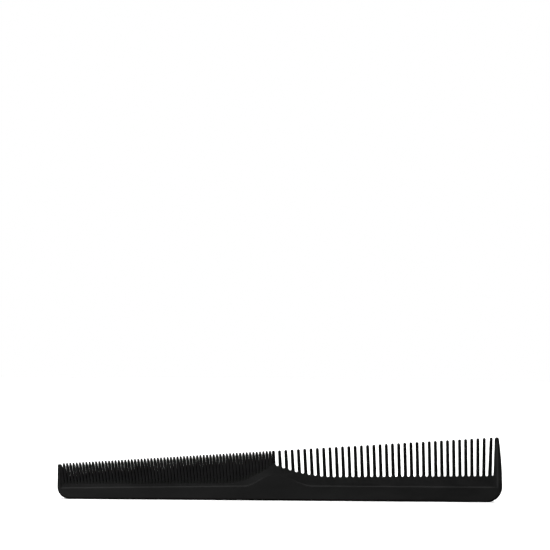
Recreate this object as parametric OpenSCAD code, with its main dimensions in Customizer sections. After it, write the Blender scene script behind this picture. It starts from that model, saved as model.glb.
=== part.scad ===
// Two-pitch cutting comb, standing on the straight edge of its spine, in millimetres.
// +X runs from the fine end to the coarse end, Y is the thickness and +Z points at the tooth tips.
// The origin is the middle of the length and of the thickness, on the underside of the spine.
// The comb is one rigid moulding: each node is one region of it, and neighbours meet face to face.

/* [Overall] */
// Length from end to end
comb_l = 180; // [150:1:220]
// Thickness of the spine
spine_t = 4; // [3:0.1:6]
// Thickness of the teeth at their tips
tip_t = 1.2; // [0.8:0.1:1.8]
// Thickness of the two guards at their tips
guard_tip_t = 1.8; // [1.2:0.1:2.4]
// Rounding of the two long lower edges of the spine
edge_r = 0.6; // [0.2:0.1:0.7]

/* [Face outline] */
// Height of the line of tooth tips at the fine end
fine_end_h = 14.2; // [13:0.1:17]
// Height of the line of tooth tips at the coarse end
coarse_end_h = 26.5; // [23:0.1:30]
// Height of the spine at the fine end
fine_spine_h = 4.1; // [4:0.1:5]
// Height of the spine where the two rows of teeth meet
centre_spine_h = 5.7; // [5:0.1:6.5]
// Height of the spine at the coarse end
coarse_spine_h = 5.8; // [5:0.1:7]
// Radius of the lower corner at the fine end
fine_corner_r = 4.9; // [1:0.1:5]
// Radius of the lower corner at the coarse end
coarse_corner_r = 6.1; // [1:0.1:6.5]

/* [Shoulder] */
// Where the two rows of teeth meet, as a part of the length
centre_at = 0.486; // [0.4:0.001:0.6]
// How far the flat sides swell up above the spine
swell_h = 4.5; // [2:0.1:5]
// Length of the swell on the fine side of the centre
fine_swell_l = 12; // [8:1:20]
// Length of the swell on the coarse side of the centre
coarse_swell_l = 16; // [8:1:25]
// Height of both webs under the centre tooth
centre_h = 15; // [13.5:0.1:16]

/* [Fine teeth] */
// Number of fine teeth
fine_count = 64; // [40:1:70]
// Width of the slots between them, at the foot
fine_slot_w = 0.14; // [0.1:0.01:0.3]
// Width of a fine tooth at its tip
fine_tip_w = 0.5; // [0.2:0.05:0.6]
// Length of the pointed part of a fine tooth
fine_point_l = 1.6; // [1:0.1:3]
// Height of the fine web at the fine end
fine_web_h = 5.9; // [5.7:0.1:6.6]
// Lean of the fine teeth towards the fine end, at that end
fine_lean = 8.6; // [0:0.1:10]

/* [Coarse teeth] */
// Number of coarse teeth between the centre tooth and the guard
coarse_count = 35; // [24:1:36]
// Width of the gaps between them, at the foot
coarse_gap_w = 1.3; // [0.9:0.05:1.6]
// How much narrower the gap next to the guard is
last_gap_loss = 0.4; // [0:0.05:0.6]
// Width of a coarse tooth at its tip
coarse_tip_w = 1.05; // [0.5:0.05:1.1]
// Height of the coarse web at the coarse end
coarse_web_h = 11.1; // [9:0.1:12]
// Lean of the centre tooth towards the fine end
centre_lean = 3.4; // [0:0.1:5]

/* [Guards] */
// Width of the fine end guard near its tip
fine_guard_w = 1.7; // [1.2:0.1:2]
// Width of the coarse end guard at its foot
coarse_guard_w = 3.5; // [2.5:0.1:4]
// Width of the coarse end guard at its tip
coarse_guard_tip_w = 1.8; // [1:0.1:2]
// Radius of the long curve on the outside of the coarse end guard
coarse_guard_bow_r = 135; // [100:5:200]

/* [Hidden] */
$fn = 48;
plastic = [0.1, 0.1, 0.1];
// Length over which each web climbs to the centre tooth
fine_climb_l = 20;
coarse_climb_l = 26;
// Height of each web at the centre before its climb
fine_web_mid_h = 7.1;
coarse_web_mid_h = 9.7;
// How much the pitch changes along each row, as a part of the pitch
fine_drift = 0.02;
coarse_drift = -0.0426;
// The coarse teeth stand straighter along the row, and the last few turn to follow the guard
coarse_lean_loss = 2.6;
guard_turn = 2.2;
guard_turn_power = 24;
// Height at which the outside of the coarse end guard starts to curve in
bow_start_h = 6.2;
// Turn between the points of a gap's round bottom
gap_step = 22.5;
// How much lower the guards are than the line of tooth tips
guard_drop = 0.2;
// Rounding of the fine end guard's tip
fine_guard_tip_r = 0.5;
// Wall between the fine end guard's tip and the first fine slot
first_wall_w = 0.1;
// From the centre back to the last fine slot's top, and on to the first coarse gap's middle
last_slot_back = 0.9;
first_gap_on = 1.35;
centre_s = comb_l * centre_at;
// First and last fine slot, on the tip line, and first and last coarse gap, on the web
fine_first_s = fine_guard_w + first_wall_w;
fine_last_s = centre_s - last_slot_back;
coarse_first_s = centre_s + first_gap_on;
coarse_last_s = comb_l - coarse_guard_w - (coarse_gap_w - last_gap_loss) / 2;

// In every function, s is the distance from the fine end along the comb.

// Position of division i of n in a row whose pitch drifts
function spread(i, n, first, last, drift) =
    let (t = i / n) first + (last - first) * (t - drift * t * (1 - t));
// Height of the line of tooth tips
function tip_z(s) = fine_end_h + (coarse_end_h - fine_end_h) * s / comb_l;
// Height of the top of the spine, which is straight from each end to the centre
function spine_z(s) = s < centre_s
    ? fine_spine_h + (centre_spine_h - fine_spine_h) * s / centre_s
    : centre_spine_h + (coarse_spine_h - centre_spine_h) * (s - centre_s) / (comb_l - centre_s);
// Height of the crease where the flat sides end and the taper to the tips starts
function crease_z(s) =
    let (away = (s - centre_s) / (s < centre_s ? -fine_swell_l : coarse_swell_l))
    spine_z(s) + swell_h * (1 + cos(180 * min(1, away))) / 2;
// Climb of a web towards the centre tooth
function climb(s, climb_l, height) = height * pow(max(0, 1 - abs(s - centre_s) / climb_l), 2);
function fine_web_z(s) =
    fine_web_h + (fine_web_mid_h - fine_web_h) * s / centre_s
    + climb(s, fine_climb_l, centre_h - fine_web_mid_h);
function coarse_web_z(s) =
    coarse_web_mid_h + (coarse_web_h - coarse_web_mid_h) * (s - centre_s) / (comb_l - centre_s)
    + climb(s, coarse_climb_l, centre_h - coarse_web_mid_h);
// Half of the thickness at height z, tapering from the crease to the tips
function half_t(s, z) =
    let (rise = (z - crease_z(s)) / (tip_z(s) - crease_z(s))) (spine_t + (tip_t - spine_t) * rise) / 2;
// Fine slot i from 0 to fine_count: its place on the tip line, its lean and its foot
function fine_slot_s(i) = spread(i, fine_count, fine_first_s, fine_last_s, fine_drift);
function fine_lean_at(s) = fine_lean + (centre_lean - fine_lean) * pow(s / centre_s, 2);
function fine_foot_s(i) =
    let (s = fine_slot_s(i)) s + tan(fine_lean_at(s)) * (tip_z(s) - fine_web_z(s));
// Coarse gap i from 0 to coarse_count: its middle and half width at the foot, and the lean of tooth i
// beside it
function coarse_gap_s(i) = spread(i, coarse_count, coarse_first_s, coarse_last_s, coarse_drift);
function coarse_gap_r(i) = (coarse_gap_w - (i < coarse_count ? 0 : last_gap_loss)) / 2;
function coarse_lean_at(i) =
    let (t = i / coarse_count) centre_lean - coarse_lean_loss * t - guard_turn * pow(t, guard_turn_power);
// Feet of the teeth, as [left edge, right edge]
function fine_foot(i) = [fine_foot_s(i - 1) + fine_slot_w / 2, fine_foot_s(i) - fine_slot_w / 2];
function coarse_foot(i) = [coarse_gap_s(i - 1) + coarse_gap_r(i - 1), coarse_gap_s(i) - coarse_gap_r(i)];
centre_foot = [fine_foot_s(fine_count) + fine_slot_w / 2, coarse_gap_s(0) - coarse_gap_r(0)];
// Inner edge of each guard, at its foot
fine_guard_s = fine_foot_s(0) - fine_slot_w / 2;
coarse_guard_s = comb_l - coarse_guard_w;
// Upper edge of each web, as [s, height] from its fine end to its coarse end. The coarse one dips in a
// half circle at each gap.
fine_edge = [for (s = concat([fine_guard_s], [for (i = [0:fine_count]) fine_foot_s(i)], [centre_s]))
    [s, fine_web_z(s)]];
coarse_edge = concat([[centre_s, coarse_web_z(centre_s)]],
    [for (i = [0:coarse_count], turn = [-90:gap_step:90])
        let (r = coarse_gap_r(i), s = coarse_gap_s(i) + r * sin(turn)) [s, coarse_web_z(s) - r * cos(turn)]]);

// Moves what is drawn from the fine end to the part's own origin
module on_comb() {
    translate([-comb_l / 2, 0, 0]) children();
}

// Extrudes an outline of the comb's face through a thickness
module through_face(thickness) {
    rotate([90, 0, 0]) linear_extrude(thickness, center = true) children();
}

// Extrudes a cross-section along the comb between two places
module along_comb(from_s, to_s) {
    translate([from_s, 0, 0]) rotate([90, 0, 90]) linear_extrude(to_s - from_s) children();
}

// Waste outside a rounded lower left corner of radius r
module corner_waste(r) {
    difference() {
        translate([-1, -1]) square(r + 1);
        translate([r, r]) circle(r);
    }
}

// Strip of web between the crease and an upper edge, tapering in thickness
module tapered_strip(edge) {
    last = 4 * (len(edge) - 1);
    points = [for (point = edge) let (s = point[0], high = point[1], low = crease_z(s))
        each [[s, -half_t(s, low), low], [s, half_t(s, low), low],
              [s, half_t(s, high), high], [s, -half_t(s, high), high]]];
    sides = [for (a = [0:4:last - 4], k = [0:3]) let (b = (k + 1) % 4) [a + k, a + k + 4, a + b + 4, a + b]];
    polyhedron(points, concat([[0, 1, 2, 3], [last + 3, last + 2, last + 1, last]], sides));
}

// Keeps what is drawn between s_range inside the taper from the crease to a tip
module taper(s_range, tip_h, tip_half) {
    s = (s_range[0] + s_range[1]) / 2;
    low = crease_z(s);
    intersection() {
        children();
        along_comb(s_range[0], s_range[1]) polygon(
            [[-spine_t / 2, low], [spine_t / 2, low], [tip_half, tip_h], [-tip_half, tip_h]]);
    }
}

// Pointed fine tooth i
module fine_tooth(i) {
    foot = fine_foot(i);
    tip_s = (fine_slot_s(i - 1) + fine_slot_s(i)) / 2;
    tip_h = tip_z(tip_s);
    foot_h = [fine_web_z(foot[0]), fine_web_z(foot[1])];
    // How far up the tooth the pointed part starts, as a part of its height
    point = 1 - fine_point_l / (tip_h - foot_h[0]);
    full_w = foot[1] - foot[0];
    point_s = (foot[0] + foot[1]) / 2 * (1 - point) + tip_s * point;
    taper([tip_s - full_w, foot[1] + full_w], tip_h, tip_t / 2) through_face(spine_t) polygon([
        [foot[0], foot_h[0]],
        [foot[1], foot_h[1]],
        [point_s + full_w / 2, tip_h - fine_point_l],
        [tip_s + fine_tip_w / 2, tip_h],
        [tip_s - fine_tip_w / 2, tip_h],
        [point_s - full_w / 2, tip_h - fine_point_l]]);
}

// Round-tipped tooth on the coarse web, on a given foot
module round_tooth(foot, lean) {
    mid = (foot[0] + foot[1]) / 2;
    tip_s = mid - tan(lean) * (tip_z(mid) - coarse_web_z(mid));
    tip_h = tip_z(tip_s);
    r = coarse_tip_w / 2;
    taper([min(tip_s, mid) - coarse_gap_w, foot[1] + coarse_gap_w], tip_h, tip_t / 2) through_face(spine_t) {
        polygon([
            [foot[0], foot[0] < centre_s ? fine_web_z(foot[0]) : coarse_web_z(foot[0])],
            [foot[1], coarse_web_z(foot[1])],
            [tip_s + r, tip_h - r],
            [tip_s - r, tip_h - r]]);
        translate([tip_s, tip_h - r]) circle(r);
    }
}

module spine() {
    color(plastic) on_comb() intersection() {
        through_face(spine_t) difference() {
            polygon([
                [0, 0],
                [comb_l, 0],
                [comb_l, coarse_spine_h],
                [centre_s, centre_spine_h],
                [0, fine_spine_h]]);
            corner_waste(fine_corner_r);
            translate([comb_l, 0]) mirror([1, 0]) corner_waste(coarse_corner_r);
        }
        along_comb(0, comb_l) difference() {
            translate([-spine_t / 2, 0]) square([spine_t, max(centre_spine_h, coarse_spine_h)]);
            translate([-spine_t / 2, 0]) corner_waste(edge_r);
            translate([spine_t / 2, 0]) mirror([1, 0]) corner_waste(edge_r);
        }
    }
}

module shoulder() {
    from_s = centre_s - fine_swell_l;
    to_s = centre_s + coarse_swell_l;
    crease = [for (point = concat(fine_edge, coarse_edge)) let (s = point[0])
        if (s > from_s && s < to_s) [s, crease_z(s)]];
    color(plastic) on_comb() through_face(spine_t)
        polygon(concat([for (s = [to_s, centre_s, from_s]) [s, spine_z(s)]], crease));
}

module fine_web() {
    color(plastic) on_comb() tapered_strip(fine_edge);
}

module coarse_web() {
    color(plastic) on_comb() tapered_strip(coarse_edge);
}

module fine_teeth() {
    color(plastic) on_comb() for (i = [1:fine_count]) fine_tooth(i);
}

module coarse_teeth() {
    color(plastic) on_comb() for (i = [1:coarse_count]) round_tooth(coarse_foot(i), coarse_lean_at(i));
}

module centre_tooth() {
    color(plastic) on_comb() round_tooth(centre_foot, centre_lean);
}

module fine_end_guard() {
    tip_h = fine_end_h - guard_drop;
    r = fine_guard_tip_r;
    // The inner side runs along the first slot, up to the height where the teeth become pointed
    bend_h = fine_end_h - fine_point_l;
    bend_s = fine_slot_s(0) - fine_slot_w / 2 + tan(fine_lean) * fine_point_l;
    color(plastic) on_comb() taper([0, fine_guard_s], tip_h, guard_tip_t / 2) through_face(spine_t) {
        difference() {
            polygon([
                [0, spine_z(0)],
                [fine_guard_s, spine_z(fine_guard_s)],
                [fine_guard_s, fine_web_z(fine_guard_s)],
                [bend_s, bend_h],
                [fine_guard_w, tip_h - r],
                [0, tip_h - r]]);
            corner_waste(fine_corner_r);
        }
        translate([r, tip_h - r]) square([fine_guard_w - 2 * r, r]);
        for (s = [r, fine_guard_w - r]) translate([s, tip_h - r]) circle(r);
    }
}

module coarse_end_guard() {
    tip_h = coarse_end_h - guard_drop;
    r = coarse_guard_tip_w / 2;
    // How far the long curve has come in by the height of the tip's centre
    rise = tip_h - r - bow_start_h;
    inset = coarse_guard_bow_r - sqrt(pow(coarse_guard_bow_r, 2) - pow(rise, 2));
    tip_s = comb_l - inset - r;
    color(plastic) on_comb() taper([coarse_guard_s, comb_l], tip_h, guard_tip_t / 2) through_face(spine_t) {
        difference() {
            intersection() {
                polygon([
                    [coarse_guard_s, spine_z(coarse_guard_s)],
                    [comb_l, coarse_spine_h],
                    [comb_l, tip_h - r],
                    [tip_s - r, tip_h - r]]);
                translate([comb_l - coarse_guard_bow_r, bow_start_h]) circle(coarse_guard_bow_r, $fn = 720);
            }
            translate([comb_l, 0]) mirror([1, 0]) corner_waste(coarse_corner_r);
        }
        translate([tip_s, tip_h - r]) circle(r);
    }
}

spine();
shoulder();
fine_web();
coarse_web();
fine_teeth();
coarse_teeth();
centre_tooth();
fine_end_guard();
coarse_end_guard();
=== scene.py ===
"""Two-pitch cutting comb in black moulded plastic, standing on the straight edge of its spine.

Shapes are worked out in millimetres. s is the distance from the fine end along the comb, y goes through
the thickness and z points at the tooth tips. on_frame() turns a point into the frame's metres.
"""

import math

import bmesh
import bpy
from mathutils import Matrix, Vector


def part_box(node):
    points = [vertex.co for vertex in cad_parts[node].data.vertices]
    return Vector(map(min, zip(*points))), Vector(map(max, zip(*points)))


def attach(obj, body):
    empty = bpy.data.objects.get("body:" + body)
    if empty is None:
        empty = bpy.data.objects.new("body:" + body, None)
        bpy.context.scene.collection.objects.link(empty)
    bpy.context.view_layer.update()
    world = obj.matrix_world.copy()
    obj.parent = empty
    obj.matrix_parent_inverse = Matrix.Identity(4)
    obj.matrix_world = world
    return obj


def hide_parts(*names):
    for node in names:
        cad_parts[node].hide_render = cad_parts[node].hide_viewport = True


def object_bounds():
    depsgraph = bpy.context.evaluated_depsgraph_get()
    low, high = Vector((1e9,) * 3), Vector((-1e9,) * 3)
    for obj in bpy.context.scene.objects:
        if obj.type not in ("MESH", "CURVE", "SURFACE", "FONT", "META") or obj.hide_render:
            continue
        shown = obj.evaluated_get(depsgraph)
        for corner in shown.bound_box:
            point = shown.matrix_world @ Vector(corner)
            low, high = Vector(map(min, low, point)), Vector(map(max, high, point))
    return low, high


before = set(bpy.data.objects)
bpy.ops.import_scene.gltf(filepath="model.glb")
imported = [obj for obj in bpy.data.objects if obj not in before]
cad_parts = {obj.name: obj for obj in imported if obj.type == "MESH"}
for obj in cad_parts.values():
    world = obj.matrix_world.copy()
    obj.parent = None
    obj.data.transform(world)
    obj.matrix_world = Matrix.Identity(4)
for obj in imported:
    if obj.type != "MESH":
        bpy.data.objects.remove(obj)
cad_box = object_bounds()

MM = 0.001


def span(node, axis):
    """Lowest and highest place of a CAD node along an axis, in millimetres."""
    low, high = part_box(node)
    return low[axis] / MM, high[axis] / MM


# Sizes that the CAD boxes give
COMB_L = (cad_box[1][0] - cad_box[0][0]) / MM
SPINE_T = span("spine", 1)[1] - span("spine", 1)[0]
COARSE_SPINE_H = span("spine", 2)[1]
CENTRE_S = span("fine_web", 0)[1] + COMB_L / 2
FINE_SWELL_L = CENTRE_S - span("shoulder", 0)[0] - COMB_L / 2
COARSE_SWELL_L = span("shoulder", 0)[1] + COMB_L / 2 - CENTRE_S
CENTRE_H = span("fine_web", 2)[1]
FINE_GUARD_H = span("fine_end_guard", 2)[1]
FINE_GUARD_S = span("fine_end_guard", 0)[1] + COMB_L / 2
COARSE_GUARD_H = span("coarse_end_guard", 2)[1]
COARSE_GUARD_S = span("coarse_end_guard", 0)[0] + COMB_L / 2

# The rest of the comb's outline, with the CAD source's own values
TIP_T = 1.2
GUARD_TIP_T = 1.8
FINE_END_H = 14.2
COARSE_END_H = 26.5
FINE_SPINE_H = 4.1
CENTRE_SPINE_H = 5.7
FINE_CORNER_R = 4.9
COARSE_CORNER_R = 6.1
SWELL_H = 4.5
FINE_COUNT = 64
FINE_POINT_L = 1.6
FINE_WEB_H = 5.9
FINE_WEB_MID_H = 7.1
FINE_CLIMB_L = 20
FINE_LEAN = 8.6
FINE_DRIFT = 0.02
COARSE_COUNT = 35
LAST_GAP_LOSS = 0.4
COARSE_WEB_H = 11.1
COARSE_WEB_MID_H = 9.7
COARSE_CLIMB_L = 26
COARSE_DRIFT = -0.0426
CENTRE_LEAN = 3.4
COARSE_LEAN_LOSS = 2.6
GUARD_TURN = 2.2
GUARD_TURN_POWER = 24
FINE_GUARD_W = 1.7
FINE_GUARD_TIP_R = 0.5
COARSE_GUARD_TIP_W = 1.8
COARSE_GUARD_BOW_R = 135
BOW_START_H = 6.2
FIRST_WALL_W = 0.1
LAST_SLOT_BACK = 0.9
FIRST_GAP_ON = 1.35

# The teeth that show are a little fuller than the CAD's
FINE_TIP_W = 0.65
COARSE_TIP_W = 1.27
COARSE_GAP_W = 1.12

# First and last fine slot, on the line of tips, and first and last coarse gap, on the web
FINE_FIRST_S = FINE_GUARD_W + FIRST_WALL_W
FINE_LAST_S = CENTRE_S - LAST_SLOT_BACK
COARSE_FIRST_S = CENTRE_S + FIRST_GAP_ON
COARSE_LAST_S = COARSE_GUARD_S - (COARSE_GAP_W - LAST_GAP_LOSS) / 2

# Finer detail than the CAD holds, on the whole comb
EDGE_R = 0.9              # rounding of the comb's outer edges
STEP_D = 0.2              # how far the sides step in at the crease
STEP_H = 0.7              # height over which they do so
STEP_FADE = 0.9           # how much of the step is lost on the swell
MEETING_R = 0.02          # rounding of an edge that meets another piece
LEAST_D = 0.02            # least distance between two points of a ring
SHARP_TURN = 38           # turn between two faces, in degrees, from which their edge looks sharp
# On the coarse row
GAP_RIM_R = 0.22          # rounding round the mouths of the coarse gaps
TOOTH_EDGE_R = 0.34       # rounding of a coarse tooth near its tip
COARSE_TIP_THIN = 0.34    # how far each side of a coarse tooth comes in over its round tip
SLOT_SHARE = 0.6          # how far up the centre tooth its left side follows the last fine slot
# On the fine row
FINE_SHUT_W = 0.0         # width of a fine slot at its foot, halfway through the thickness
FINE_OPEN_W = 0.028       # and where the teeth become pointed
FINE_FOOT_H = 0.35        # height over which a fine tooth changes from its foot to its own section
FINE_EDGE_R = 0.12        # rounding of the edges of a fine tooth
POINT_EDGE_R = 0.22       # and at its point
EDGE_MOST = 0.9           # most of half a tooth's width that this rounding takes up
FINE_TIP_THIN = 0.18      # how far each side of a fine tooth comes in over its point
POINT_POWER = 1.7         # how blunt the points of the fine teeth are
GROOVE_RISE_H = 1.2       # height over which a fine slot widens at the faces of the comb
GROOVE_MOST = 0.45        # most of half a tooth's width that this takes away
# Two that differ along the fine row, given at the fine end and at the centre
FINE_OPEN_L = (4.6, 2.8)  # how far below the points a fine slot closes
GROOVE_W = (0.34, 0.16)   # extra width of a fine slot at the faces of the comb
# On the guards
COARSE_LAND_W = 2.0       # width of the thick outer part of the coarse end guard
FINE_LAND_W = 1.5         # and of the fine end guard
LAND_STEP_W = 0.7         # width of the slope between it and the thinner inner part
BLEND_H = 4.0             # height over which the inner part becomes as thick, up to the round tip
LEDGE_H = 0.02            # height over which a guard's inner side leaves the web
FINE_RIM_R = 0.12         # rounding of the fine end guard's inner side next to the web
GUARD_RIM_R = 0.4         # rounding of a guard's inner side at its tip
GUARD_EDGE_SHARE = 0.8    # rounding of its outer side there, as a share of half its width
GUARD_RIDGE_T = 0.35      # half of its thickness at the very top

# How finely the shapes are divided
ARC_STEPS = 4             # round each rounded edge
STEP_STEPS = 8            # up the step at the crease
CORNER_STEPS = 16         # round each lower corner
SWELL_STEPS = 80          # along the swell
GAP_STEPS = 12            # round the bottom of each coarse gap
FINE_STEPS = 8            # up a fine tooth to its pointed part, and up that part
LAND_STEPS = 6            # across the slope of a guard's land
GUARD_WEB_STEPS = 8       # up a guard, from the crease to the top of the web
GUARD_STEPS = 18          # and from there to its round tip
# Rings round the tip of a guard, in degrees
GUARD_TIP_TURNS = (18, 36, 54, 70, 83)
# Rings up a coarse tooth to its round tip, as shares of that height, and round the tip, in degrees
TOOTH_SHARES = (0.04, 0.15, 0.3, 0.5, 0.7, 0.85, 1)
TOOTH_TIP_TURNS = (22.5, 45, 67.5, 84)


def clamp(value):
    """Keeps to 0 to 1."""
    return min(1.0, max(0.0, value))


def mix(a, b, share):
    """Goes from a to b as share goes from 0 to 1."""
    return a + (b - a) * share


def smooth(value):
    """Eases from 0 to 1."""
    value = clamp(value)
    return value * value * (3 - 2 * value)


def spread(i, count, first, last, drift):
    """Position of division i in a row whose pitch drifts."""
    t = i / count
    return first + (last - first) * (t - drift * t * (1 - t))


def tip_z(s):
    """Height of the line of tooth tips."""
    return mix(FINE_END_H, COARSE_END_H, s / COMB_L)


def spine_z(s):
    """Height of the top of the spine, which is straight from each end to the centre."""
    if s < CENTRE_S:
        return mix(FINE_SPINE_H, CENTRE_SPINE_H, s / CENTRE_S)
    return mix(CENTRE_SPINE_H, COARSE_SPINE_H, (s - CENTRE_S) / (COMB_L - CENTRE_S))


def swell(s):
    """1 at the top of the swell, 0 beyond its ends."""
    length = FINE_SWELL_L if s < CENTRE_S else COARSE_SWELL_L
    return (1 + math.cos(math.pi * clamp(abs(s - CENTRE_S) / length))) / 2


def crease_z(s):
    """Height of the crease where the flat sides end."""
    return spine_z(s) + SWELL_H * swell(s)


def web_z(s):
    """Height of the web that the teeth stand on."""
    if s < CENTRE_S:
        level = mix(FINE_WEB_H, FINE_WEB_MID_H, s / CENTRE_S)
        climb = clamp(1 - (CENTRE_S - s) / FINE_CLIMB_L) ** 2
        return level + (CENTRE_H - FINE_WEB_MID_H) * climb
    level = mix(COARSE_WEB_MID_H, COARSE_WEB_H, (s - CENTRE_S) / (COMB_L - CENTRE_S))
    climb = clamp(1 - (s - CENTRE_S) / COARSE_CLIMB_L) ** 2
    return level + (CENTRE_H - COARSE_WEB_MID_H) * climb


def face_y(s, z):
    """Half of the thickness at height z: a soft step in at the crease, and a taper to the tips."""
    low = crease_z(s)
    step = STEP_D * (1 - STEP_FADE * swell(s)) * smooth((z - low) / STEP_H)
    return mix(SPINE_T / 2 - step, TIP_T / 2, clamp((z - low) / (tip_z(s) - low)))


def fine_slot_s(i):
    """Fine slot i on the line of tips."""
    return spread(i, FINE_COUNT, FINE_FIRST_S, FINE_LAST_S, FINE_DRIFT)


def fine_foot_s(i):
    """Fine slot i at its foot."""
    s = fine_slot_s(i)
    lean = mix(FINE_LEAN, CENTRE_LEAN, (s / CENTRE_S) ** 2)
    return s + math.tan(math.radians(lean)) * (tip_z(s) - web_z(s))


def slot_line(i, z):
    """Fine slot i at height z, on the straight line from its foot to the line of tips."""
    foot, top = fine_foot_s(i), fine_slot_s(i)
    return mix(foot, top, (z - web_z(foot)) / (tip_z(top) - web_z(foot)))


def coarse_gap_s(i):
    """Middle of coarse gap i at its foot."""
    return spread(i, COARSE_COUNT, COARSE_FIRST_S, COARSE_LAST_S, COARSE_DRIFT)


def coarse_gap_r(i):
    """Half the width of coarse gap i at its foot."""
    return (COARSE_GAP_W - (LAST_GAP_LOSS if i == COARSE_COUNT else 0)) / 2


def coarse_foot(i):
    """Left and right edge of coarse tooth i at its foot."""
    return coarse_gap_s(i - 1) + coarse_gap_r(i - 1), coarse_gap_s(i) - coarse_gap_r(i)


def coarse_lean(i):
    """Lean of coarse tooth i towards the fine end, in degrees."""
    t = i / COARSE_COUNT
    return CENTRE_LEAN - COARSE_LEAN_LOSS * t - GUARD_TURN * t**GUARD_TURN_POWER


def corner_in(z, r):
    """How far a rounded lower corner of radius r comes in at height z."""
    return r - math.sqrt(r**2 - max(0.0, r - z) ** 2)


def on_frame(point):
    """Point of the comb in the frame's metres."""
    s, y, z = point
    return Vector(((s - COMB_L / 2) * MM, y * MM, z * MM))


def arc():
    """Cosine and sine of the turns of a quarter circle."""
    turns = [math.pi / 2 * k / ARC_STEPS for k in range(ARC_STEPS + 1)]
    return [(math.cos(turn), math.sin(turn)) for turn in turns]


def loft(rings, blunt=True):
    """Closed shell through rings of equal length, as (points, faces).

    A fan closes each end, unless the rings shut by themselves there.
    """
    count = len(rings[0])
    points = [point for ring in rings for point in ring]
    faces = []
    last = len(points) - count
    for low in range(0, last, count):
        high = low + count
        for k in range(count):
            after = (k + 1) % count
            faces.append((low + k, high + k, high + after, low + after))
    ends = ((0, rings[0]), (last, rings[-1])) if blunt else ()
    for start, ring in ends:
        points.append(tuple(sum(places) / count for places in zip(*ring)))
        faces += [(start + k, start + (k + 1) % count, len(points) - 1) for k in range(count)]
    return points, faces


def both_sides(front):
    """Ring made of a half and its mirror image. Points on the mirror plane aren't repeated."""
    return front + [(s, -y, z) for s, y, z in reversed(front) if y]


# --- Pieces ---------------------------------------------------------------------------------------


def spine_shell():
    """Back bar: flat sides, a top that bends at the centre, and an edge rounded round its outline."""
    path = []
    fine_turn = math.pi + math.asin(1 - FINE_SPINE_H / FINE_CORNER_R)
    coarse_turn = 2 * math.pi - math.asin(1 - COARSE_SPINE_H / COARSE_CORNER_R)
    corners = ((FINE_CORNER_R, FINE_CORNER_R, fine_turn, 1.5 * math.pi),
               (COMB_L - COARSE_CORNER_R, COARSE_CORNER_R, 1.5 * math.pi, coarse_turn))
    for middle_s, r, start, end in corners:
        for k in range(CORNER_STEPS + 1):
            turn = mix(start, end, k / CORNER_STEPS)
            out_s, out_z = math.cos(turn), math.sin(turn)
            path.append((middle_s + r * out_s, r + r * out_z, -out_s, -out_z))
    # Across the thickness, as (distance in from the outline, y)
    rim = [(EDGE_R * (1 - sin), SPINE_T / 2 - EDGE_R * (1 - cos)) for cos, sin in arc()]
    rim = [(inset, -y) for inset, y in rim] + [(inset, y) for inset, y in reversed(rim)]
    count = len(rim)
    points = []
    for place, (s, z, in_s, in_z) in enumerate(path):
        at_top = place in (0, len(path) - 1)
        for inset, y in rim:
            at_s = s + in_s * inset
            points.append((at_s, y, spine_z(at_s) if at_top else z + in_z * inset))
    faces = []
    for low in range(0, len(points) - count, count):
        for k in range(count - 1):
            faces.append((low + k, low + k + 1, low + count + k + 1, low + count + k))
    starts = tuple(range(0, len(points), count))
    last = starts[-1]
    # The top bends between a near and a far point at the centre
    near, far = len(points), len(points) + 1
    points += [(CENTRE_S, y, CENTRE_SPINE_H) for y in (-SPINE_T / 2, SPINE_T / 2)]
    faces.append(starts + (near,))
    faces.append(tuple(start + count - 1 for start in starts) + (far,))
    faces.append(tuple(range(count)) + (far, near))
    faces.append(tuple(range(last, last + count)) + (far, near))
    return points, faces


def shoulder_shell():
    """Raised swell of the flat sides, between the spine's top and the crease."""
    rings = []
    for k in range(SWELL_STEPS + 1):
        s = CENTRE_S - FINE_SWELL_L + (FINE_SWELL_L + COARSE_SWELL_L) * k / SWELL_STEPS
        rings.append(both_sides([(s, SPINE_T / 2, crease_z(s)), (s, SPINE_T / 2, spine_z(s))]))
    return loft(rings, blunt=False)


def web_column(s, top):
    """Points up the front of a web at s, from the crease through the step to a top point."""
    rise = [crease_z(s) + STEP_H * k / STEP_STEPS for k in range(STEP_STEPS + 1)]
    return [(s, face_y(s, z), z) for z in rise if z < top[2] - LEAST_D]


def fine_web_shell():
    """Strip that the fine teeth stand on."""
    feet = [fine_foot_s(i) for i in range(FINE_COUNT + 1)]
    rings = []
    for s in (FINE_GUARD_S, *feet, CENTRE_S):
        top = (s, face_y(s, web_z(s)), web_z(s))
        rings.append(both_sides(web_column(s, top) + [top]))
    return loft(rings)


def coarse_web_shell():
    """Strip that the coarse teeth stand on, with a rounded rim round the bottom of each gap."""
    top = web_z(CENTRE_S)
    low = face_y(CENTRE_S, top)
    rim = [(CENTRE_S, low - GAP_RIM_R * (1 - sin), top) for cos, sin in reversed(arc())]
    rings = [both_sides(web_column(CENTRE_S, rim[0]) + rim)]
    for i in range(COARSE_COUNT + 1):
        gap, r = coarse_gap_s(i), coarse_gap_r(i)
        for k in range(GAP_STEPS + 1):
            turn = math.pi * (k / GAP_STEPS - 0.5)
            out_s, out_z = math.sin(turn), -math.cos(turn)
            bottom_z = web_z(gap + r * out_s)
            rim = []
            for cos, sin in reversed(arc()):
                out = r + GAP_RIM_R * (1 - cos)
                s, z = gap + out * out_s, bottom_z + out * out_z
                rim.append((s, face_y(s, z) - GAP_RIM_R * (1 - sin), z))
            rings.append(both_sides(web_column(rim[0][0], rim[0]) + rim))
    return loft(rings)


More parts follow.
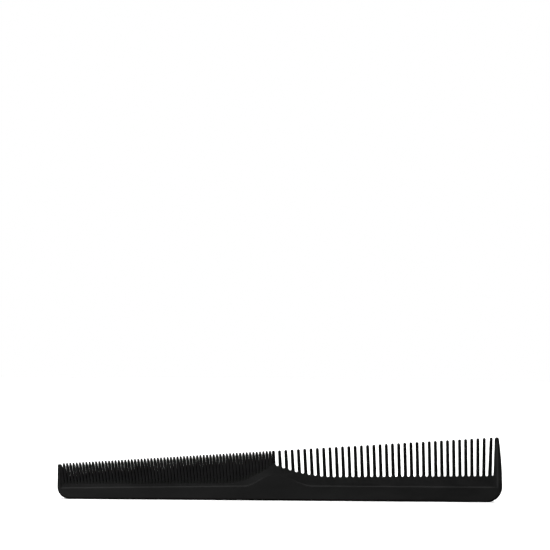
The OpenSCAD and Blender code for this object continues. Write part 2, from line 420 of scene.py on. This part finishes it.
def tooth_ring(edges, heights, corners, thinner=0.0, bulge=0.0):
    """Ring round a tooth between its left and right edges, at their heights and that of its middle.

    corners holds the left and right edge rounding, thinner is taken off the thickness, and bulge is how
    far the sides stand out halfway through the thickness.
    """
    left, right = edges
    left_r, right_r = corners
    left_z, middle_z, right_z = heights
    middle = (left + right) / 2
    front = [(left - bulge, 0.0, left_z)]
    for cos, sin in arc():
        s = left + left_r * (1 - cos)
        front.append((s, face_y(s, left_z) - thinner - left_r * (1 - sin), left_z))
    front.append((middle, face_y(middle, middle_z) - thinner, middle_z))
    for cos, sin in reversed(arc()):
        s = right - right_r * (1 - cos)
        front.append((s, face_y(s, right_z) - thinner - right_r * (1 - sin), right_z))
    front.append((right + bulge, 0.0, right_z))
    return both_sides(front)


def coarse_tooth(foot, lean, left_rim, slot_s=None):
    """Round-tipped tooth on a foot given by its left and right edges.

    slot_s is the top of the fine slot that its left side runs along, if there is one.
    """
    left_foot, right_foot = foot
    left_z, right_z = web_z(left_foot), web_z(right_foot)
    foot_z = (left_z + right_z) / 2
    middle = (left_foot + right_foot) / 2
    tip_s = middle - math.tan(math.radians(lean)) * (tip_z(middle) - web_z(middle))
    r = COARSE_TIP_W / 2
    round_z = tip_z(tip_s) - r
    rings = [tooth_ring(foot, (left_z, max(web_z(middle), foot_z), right_z), (left_rim, GAP_RIM_R))]
    for share in TOOTH_SHARES:
        left = mix(left_foot, tip_s - r, share)
        if slot_s:
            leave = smooth((share - SLOT_SHARE) / (1 - SLOT_SHARE))
            left = mix(mix(left_foot, slot_s, share), left, leave)
        edges = (left, mix(right_foot, tip_s + r, share))
        level = mix(foot_z, round_z, share)
        # The rings start along the slope of the web and soon lie level
        tilt = (right_z - left_z) / 2 * (1 - share) ** 12
        corner = mix(GAP_RIM_R, TOOTH_EDGE_R, share)
        rings.append(tooth_ring(edges, (level - tilt, level, level + tilt), (corner, corner)))
    for turn in TOOTH_TIP_TURNS:
        cos, sin = math.cos(math.radians(turn)), math.sin(math.radians(turn))
        edges = (tip_s - r * cos, tip_s + r * cos)
        corner = TOOTH_EDGE_R * cos
        thinner = COARSE_TIP_THIN * (1 - cos)
        rings.append(tooth_ring(edges, (round_z + r * sin,) * 3, (corner, corner), thinner))
    return loft(rings)


def fine_tooth(i):
    """Pointed tooth i, whose sides lean together from the faces to halfway through the thickness."""
    feet = (fine_foot_s(i - 1) + FINE_SHUT_W / 2, fine_foot_s(i) - FINE_SHUT_W / 2)
    foot_z = sum(web_z(s) for s in feet) / 2
    tip_h = tip_z((fine_slot_s(i - 1) + fine_slot_s(i)) / 2)
    point_z = tip_h - FINE_POINT_L
    open_l = mix(*FINE_OPEN_L, i / FINE_COUNT)
    groove_w = mix(*GROOVE_W, i / FINE_COUNT)
    rings = [tooth_ring(feet, (web_z(feet[0]), foot_z, web_z(feet[1])), (MEETING_R, MEETING_R))]
    # Each level goes with how far up the pointed part it is
    shares = [k / FINE_STEPS for k in range(FINE_STEPS + 1)]
    levels = [(mix(foot_z + FINE_FOOT_H, point_z, share), 0.0) for share in shares]
    levels += [(mix(point_z, tip_h, share), share) for share in shares[1:]]
    for level, point in levels:
        left, right = slot_line(i - 1, level), slot_line(i, level)
        slot = mix(FINE_SHUT_W, FINE_OPEN_W, clamp(1 - (point_z - level) / open_l) ** 2)
        widest = (right - left - slot) / 2
        widest = mix(FINE_TIP_W / 2, widest, 1 - point**POINT_POWER)
        groove = min(groove_w / 2 * smooth((level - foot_z) / GROOVE_RISE_H), widest * GROOVE_MOST)
        half = widest - groove
        corner = min(mix(FINE_EDGE_R, POINT_EDGE_R, point), half * EDGE_MOST)
        middle = (left + right) / 2
        edges = (middle - half, middle + half)
        rings.append(tooth_ring(edges, (level,) * 3, (corner, corner), FINE_TIP_THIN * point**4, groove))
    return loft(rings)


def guard_shell(outer, inner, top, web_s, web_h, land, tip, outward, inner_rim):
    """Stout end tooth, with a thick land down its outer side and a thinner part next to the web.

    outer(z) and inner(z) give its two edges, and top is its height. web_s is where the web ends, below
    web_h. land is the width of the land, tip holds half the width of the tip and the rounding there,
    outward is 1 or -1 along s, and inner_rim is the rounding of the inner side next to the web.
    """
    tip_half, tip_r = tip
    tip_level = top - tip_r
    tip_middle = outer(tip_level) - outward * tip_half

    def ring(level, out_edge, in_edge, on_web, shrink=1.0):
        """Ring at a level, or on top of the spine if that is None. shrink is below 1 over the round tip."""

        def height(s):
            return spine_z(s) if level is None else level

        outline_z = height(out_edge)
        low = crease_z(out_edge)
        rise = clamp((outline_z - low) / (tip_level - low))
        thick = mix(SPINE_T, GUARD_TIP_T, rise) / 2
        fade = 1 - smooth((outline_z - tip_level + BLEND_H) / BLEND_H)
        edge_r = mix(EDGE_R, tip_half * GUARD_EDGE_SHARE, rise) * shrink
        in_r = mix(inner_rim, GUARD_RIM_R, rise) * shrink
        lost = (thick - GUARD_RIDGE_T) * (1 - shrink)
        least = LEAST_D * shrink

        def inner_y(s):
            thin = face_y(s, min(outline_z, tip_z(s)))
            return thick if level is None else mix(thick, thin, fade)

        start = web_s if on_web else in_edge
        front = [(start, 0.0, height(start))]
        for cos, sin in arc():
            s = start if on_web else in_edge + outward * in_r * (1 - cos)
            front.append((s, inner_y(s) - lost - in_r * (1 - sin), height(s)))
        inside = front[-1][0]
        line = out_edge - outward * mix(land, abs(out_edge - in_edge) / 2, rise)
        for k in range(LAND_STEPS + 1):
            share = k / LAND_STEPS
            s = line + outward * LAND_STEP_W * (share - 0.5) * shrink
            if (s - inside) * outward < least * (k + 1):
                s = inside + outward * least * (k + 1)
            front.append((s, mix(inner_y(s), thick, smooth(share)) - lost, height(s)))
        for cos, sin in reversed(arc()):
            s = out_edge - outward * edge_r * (1 - cos)
            front.append((s, thick - lost - edge_r * (1 - sin), height(s)))
        front.append((out_edge, 0.0, height(out_edge)))
        return both_sides(front)

    low = crease_z(clamp(outward) * COMB_L)
    rings = [ring(None, outer(low), inner(web_h), True)]
    for k in range(1, GUARD_WEB_STEPS + 1):
        level = mix(low, web_h, k / GUARD_WEB_STEPS)
        rings.append(ring(level, outer(level), inner(web_h), True))
    for k in range(GUARD_STEPS + 1):
        level = mix(web_h + LEDGE_H, tip_level, k / GUARD_STEPS)
        rings.append(ring(level, outer(level), inner(level), False))
    for turn in GUARD_TIP_TURNS:
        cos, sin = math.cos(math.radians(turn)), math.sin(math.radians(turn))
        half = tip_half - tip_r * (1 - cos)
        edges = (tip_middle + outward * half, tip_middle - outward * half)
        rings.append(ring(tip_level + tip_r * sin, *edges, False, cos))
    return loft(rings)


def coarse_guard_shell():
    """Tall guard whose outer side bows in towards its tip."""
    web_h = web_z(COARSE_GUARD_S)
    tip_r = COARSE_GUARD_TIP_W / 2
    tip_level = COARSE_GUARD_H - tip_r

    def outer(z):
        rise = max(0.0, z - BOW_START_H)
        bow_in = COARSE_GUARD_BOW_R - math.sqrt(COARSE_GUARD_BOW_R**2 - rise**2)
        return COMB_L - bow_in - corner_in(z, COARSE_CORNER_R)

    def inner(z):
        share = clamp((z - web_h) / (tip_level - web_h))
        return mix(COARSE_GUARD_S, outer(tip_level) - 2 * tip_r, share)

    web_s = COARSE_GUARD_S + GAP_RIM_R
    tip = (tip_r, tip_r)
    return guard_shell(outer, inner, COARSE_GUARD_H, web_s, web_h, COARSE_LAND_W, tip, 1, GAP_RIM_R)


def fine_guard_shell():
    """Short guard with a straight outer side."""
    web_h = web_z(FINE_GUARD_S)
    tip_level = FINE_GUARD_H - FINE_GUARD_TIP_R
    tip = (FINE_GUARD_W / 2, FINE_GUARD_TIP_R)
    bend_h = FINE_END_H - FINE_POINT_L
    bend_s = FINE_FIRST_S + math.tan(math.radians(FINE_LEAN)) * FINE_POINT_L

    def outer(z):
        return corner_in(z, FINE_CORNER_R)

    def inner(z):
        along_slot = mix(FINE_GUARD_S, bend_s, clamp((z - web_h) / (bend_h - web_h)))
        return mix(along_slot, FINE_GUARD_W, clamp((z - bend_h) / (tip_level - bend_h)))

    return guard_shell(outer, inner, FINE_GUARD_H, FINE_GUARD_S, web_h, FINE_LAND_W, tip, -1, FINE_RIM_R)


# --- Material -------------------------------------------------------------------------------------


def plastic(name, tones, roughness, specular, bump):
    """Black injection-moulded plastic: fine mould grain, faint flow marks and hairline rubs.

    tones are the darkest and lightest of its colour. Patterns are laid out in millimetres.
    """
    material = bpy.data.materials.new(name)
    material.use_nodes = True
    nodes, links = material.node_tree.nodes, material.node_tree.links
    shader = nodes["Principled BSDF"]
    shader.inputs["Specular IOR Level"].default_value = specular
    place = nodes.new("ShaderNodeTexCoord")

    def noise(scale, stretch, detail, distortion=0.0):
        mapping = nodes.new("ShaderNodeMapping")
        mapping.inputs["Scale"].default_value = [k / MM for k in stretch]
        links.new(place.outputs["Object"], mapping.inputs["Vector"])
        texture = nodes.new("ShaderNodeTexNoise")
        texture.inputs["Scale"].default_value = scale
        texture.inputs["Detail"].default_value = detail
        texture.inputs["Distortion"].default_value = distortion
        links.new(mapping.outputs["Vector"], texture.inputs["Vector"])
        return texture.outputs["Fac"]

    def ramp(value, low, high, out_low, out_high):
        node = nodes.new("ShaderNodeMapRange")
        node.inputs["From Min"].default_value = low
        node.inputs["From Max"].default_value = high
        node.inputs["To Min"].default_value = out_low
        node.inputs["To Max"].default_value = out_high
        links.new(value, node.inputs["Value"])
        return node.outputs["Result"]

    def combine(kind, a, b):
        node = nodes.new("ShaderNodeMath")
        node.operation = kind
        links.new(a, node.inputs[0])
        links.new(b, node.inputs[1])
        return node.outputs["Value"]

    # Broad flow marks, even grain, and long thin rubs that show only at their strongest
    flow = noise(0.22, (0.35, 1, 1), detail=3, distortion=0.6)
    grain = noise(5.5, (1, 1, 1), detail=2)
    rubs = noise(2.6, (0.03, 1, 1), detail=2)
    hairlines = ramp(rubs, 0.60, 0.66, 0.0, 1.0)
    flow_ends = (0.3, 0.7)

    colour = nodes.new("ShaderNodeValToRGB")
    for stop, position, tone in zip(colour.color_ramp.elements, flow_ends, tones):
        stop.position = position
        stop.color = (tone, tone, tone, 1)
    links.new(flow, colour.inputs["Fac"])
    links.new(colour.outputs["Color"], shader.inputs["Base Color"])

    gloss = ramp(flow, *flow_ends, roughness - 0.04, roughness + 0.04)
    gloss = combine("ADD", gloss, ramp(hairlines, 0, 1, 0.0, 0.06))
    links.new(gloss, shader.inputs["Roughness"])

    relief = nodes.new("ShaderNodeBump")
    relief.inputs["Strength"].default_value = bump
    relief.inputs["Distance"].default_value = 0.01 * MM
    height = combine("ADD", grain, ramp(hairlines, 0, 1, 0.0, -0.5))
    links.new(height, relief.inputs["Height"])
    links.new(relief.outputs["Normal"], shader.inputs["Normal"])
    return material


def make_piece(name, node, shells, material):
    """One visible piece that stands for one CAD node and is made of closed shells."""
    points, faces = [], []
    for shell_points, shell_faces in shells:
        base = len(points)
        points += [on_frame(point) for point in shell_points]
        faces += [tuple(base + k for k in face) for face in shell_faces]
    mesh = bpy.data.meshes.new(name)
    mesh.from_pydata(points, [], faces)
    work = bmesh.new()
    work.from_mesh(mesh)
    bmesh.ops.dissolve_degenerate(work, dist=1e-8, edges=work.edges)
    bmesh.ops.recalc_face_normals(work, faces=work.faces)
    work.to_mesh(mesh)
    work.free()
    mesh.polygons.foreach_set("use_smooth", [True] * len(mesh.polygons))
    mesh.set_sharp_from_angle(angle=math.radians(SHARP_TURN))
    mesh.materials.append(material)
    piece = bpy.data.objects.new(name, mesh)
    bpy.context.scene.collection.objects.link(piece)
    flat = piece.modifiers.new("flat_faces", "WEIGHTED_NORMAL")
    flat.keep_sharp = True
    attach(piece, "root")
    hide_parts(node)


# One black plastic in three copies. The coarse teeth's colour is painted darker than the body's, as painted
# shade, and the fine teeth's is a little lighter, as painted light.
body_plastic = plastic("black_plastic_body", (0.0065, 0.011),
                       roughness=0.4, specular=0.4, bump=0.35)
fine_lit_plastic = plastic("black_plastic_fine_teeth_painted_light", (0.0078, 0.0122),
                       roughness=0.34, specular=0.16, bump=0.2)
coarse_shaded_plastic = plastic("black_plastic_coarse_teeth_painted_shade", (0.003, 0.0055),
                         roughness=0.34, specular=0.12, bump=0.2)

fine_row = [fine_tooth(i) for i in range(1, FINE_COUNT + 1)]
coarse_row = [coarse_tooth(coarse_foot(i), coarse_lean(i), GAP_RIM_R) for i in range(1, COARSE_COUNT + 1)]
centre_foot = (fine_foot_s(FINE_COUNT) + FINE_SHUT_W, coarse_gap_s(0) - coarse_gap_r(0))
centre_tooth = coarse_tooth(centre_foot, CENTRE_LEAN, MEETING_R, FINE_LAST_S + FINE_OPEN_W)

make_piece("back_bar", "spine", [spine_shell()], body_plastic)
make_piece("swell", "shoulder", [shoulder_shell()], body_plastic)
make_piece("fine_strip", "fine_web", [fine_web_shell()], body_plastic)
make_piece("coarse_strip", "coarse_web", [coarse_web_shell()], body_plastic)
make_piece("fine_row", "fine_teeth", fine_row, fine_lit_plastic)
make_piece("coarse_row", "coarse_teeth", coarse_row, coarse_shaded_plastic)
make_piece("middle_tooth", "centre_tooth", [centre_tooth], coarse_shaded_plastic)
make_piece("fine_guard", "fine_end_guard", [fine_guard_shell()], body_plastic)
make_piece("coarse_guard", "coarse_end_guard", [coarse_guard_shell()], body_plastic)

# --- Stage, light and camera ----------------------------------------------------------------------

scene = bpy.context.scene
scene.view_settings.view_transform = "Standard"
scene.view_settings.look = "None"


def make_floor(radius):
    """Plain pale floor, which the comb neither mirrors nor takes light from."""
    mesh = bpy.data.meshes.new("floor")
    sides = 96
    turns = [math.radians(360 * k / sides) for k in range(sides)]
    rim = [(radius * math.cos(turn), radius * math.sin(turn), 0) for turn in turns]
    mesh.from_pydata(rim, [], [tuple(range(sides))])
    material = bpy.data.materials.new("pale_floor")
    material.use_nodes = True
    shader = material.node_tree.nodes["Principled BSDF"]
    shader.inputs["Base Color"].default_value = (0.85, 0.85, 0.85, 1)
    shader.inputs["Roughness"].default_value = 0.9
    shader.inputs["Specular IOR Level"].default_value = 0.0
    mesh.materials.append(material)
    floor = bpy.data.objects.new("floor", mesh)
    floor.visible_glossy = False
    floor.visible_diffuse = False
    scene.collection.objects.link(floor)


def make_world(below, level, above, glows):
    """Studio surroundings that the plastic reflects, behind a plain white backdrop.

    below, level and above are the tones under, round and over the comb. Each glow is a soft round patch
    of light, as (direction, radius in degrees, brightness).
    """
    world = bpy.data.worlds.new("studio")
    world.use_nodes = True
    nodes, links = world.node_tree.nodes, world.node_tree.links
    place = nodes.new("ShaderNodeTexCoord")
    split = nodes.new("ShaderNodeSeparateXYZ")
    links.new(place.outputs["Generated"], split.inputs["Vector"])
    height = nodes.new("ShaderNodeMapRange")
    height.inputs["From Min"].default_value = -1
    height.inputs["From Max"].default_value = 1
    links.new(split.outputs["Z"], height.inputs["Value"])
    sky = nodes.new("ShaderNodeValToRGB")
    stops = sky.color_ramp.elements
    # Places from 0, straight down, to 1, straight up
    places = (0.35, 0.48, 0.8, 1.0)
    for position in places[1:-1]:
        stops.new(position)
    for stop, position, tone in zip(stops, places, (below, level, level, above)):
        stop.position = position
        stop.color = (tone, tone, tone, 1)
    links.new(height.outputs["Result"], sky.inputs["Fac"])
    light = sky.outputs["Color"]
    for way, radius, brightness in glows:
        aim = nodes.new("ShaderNodeVectorMath")
        aim.operation = "DOT_PRODUCT"
        aim.inputs[1].default_value = Vector(way).normalized()
        links.new(place.outputs["Generated"], aim.inputs[0])
        spot = nodes.new("ShaderNodeMapRange")
        spot.interpolation_type = "SMOOTHSTEP"
        spot.inputs["From Min"].default_value = math.cos(math.radians(radius))
        spot.inputs["From Max"].default_value = 1
        spot.inputs["To Max"].default_value = brightness
        links.new(aim.outputs["Value"], spot.inputs["Value"])
        total = nodes.new("ShaderNodeVectorMath")
        total.operation = "ADD"
        links.new(light, total.inputs[0])
        links.new(spot.outputs["Result"], total.inputs[1])
        light = total.outputs["Vector"]
    ray = nodes.new("ShaderNodeLightPath")
    pick = nodes.new("ShaderNodeMix")
    pick.data_type = "RGBA"
    colours = [socket for socket in pick.inputs if socket.type == "RGBA"]
    links.new(ray.outputs["Is Camera Ray"], pick.inputs["Factor"])
    links.new(light, colours[0])
    colours[1].default_value = (1, 1, 1, 1)
    result = [socket for socket in pick.outputs if socket.type == "RGBA"][0]
    links.new(result, nodes["Background"].inputs["Color"])
    scene.world = world


def make_sun(strength):
    """Broad overhead light that keeps the floor white and leaves no bright spot on the comb."""
    data = bpy.data.lights.new("overhead", "SUN")
    data.energy = strength
    data.angle = math.radians(100)
    light = bpy.data.objects.new("overhead", data)
    light.visible_glossy = False
    scene.collection.objects.link(light)


def make_softbox(name, direction, distance, size, power):
    """Square softbox aimed at the comb, with distance and size in metres and power in watts."""
    data = bpy.data.lights.new(name, "AREA")
    data.shape = "SQUARE"
    data.size = size
    data.energy = power
    light = bpy.data.objects.new(name, data)
    way = Vector(direction).normalized()
    light.location = way * distance
    light.rotation_mode = "QUATERNION"
    light.rotation_quaternion = way.to_track_quat("Z", "Y")
    light.visible_camera = False
    scene.collection.objects.link(light)


make_floor(radius=1.5)
front_glow = ((-0.46, -0.9, -0.17), 31, 0.85)
back_glow = ((0.72, 0.68, -0.2), 36, 0.55)
make_world(below=0.01, level=0.02, above=1.6, glows=(front_glow, back_glow))
make_sun(strength=5.0)
make_softbox("left_front", (-0.75, -1, 0.35), distance=1.0, size=0.5, power=0.4)
make_softbox("right_back", (0.75, 1, 0.35), distance=1.0, size=0.5, power=1.2)

# The camera looks level along +Y, with the comb low in the picture and turned a little clockwise
VIEW_W = 222.7 * MM
CAMERA_D = 1.3
CAMERA_X = -2.64 * MM
CAMERA_H = 91.25 * MM
CAMERA_ROLL = math.radians(0.46)
SENSOR_W = 36
camera_data = bpy.data.cameras.new("camera")
camera_data.sensor_width = SENSOR_W
camera_data.lens = SENSOR_W * CAMERA_D / VIEW_W
camera = bpy.data.objects.new("camera", camera_data)
camera.matrix_world = (
    Matrix.Translation((CAMERA_X, -CAMERA_D, CAMERA_H))
    @ Matrix.Rotation(math.radians(90), 4, "X")
    @ Matrix.Rotation(CAMERA_ROLL, 4, "Z")
)
scene.collection.objects.link(camera)
scene.camera = camera

bpy.context.view_layer.update()
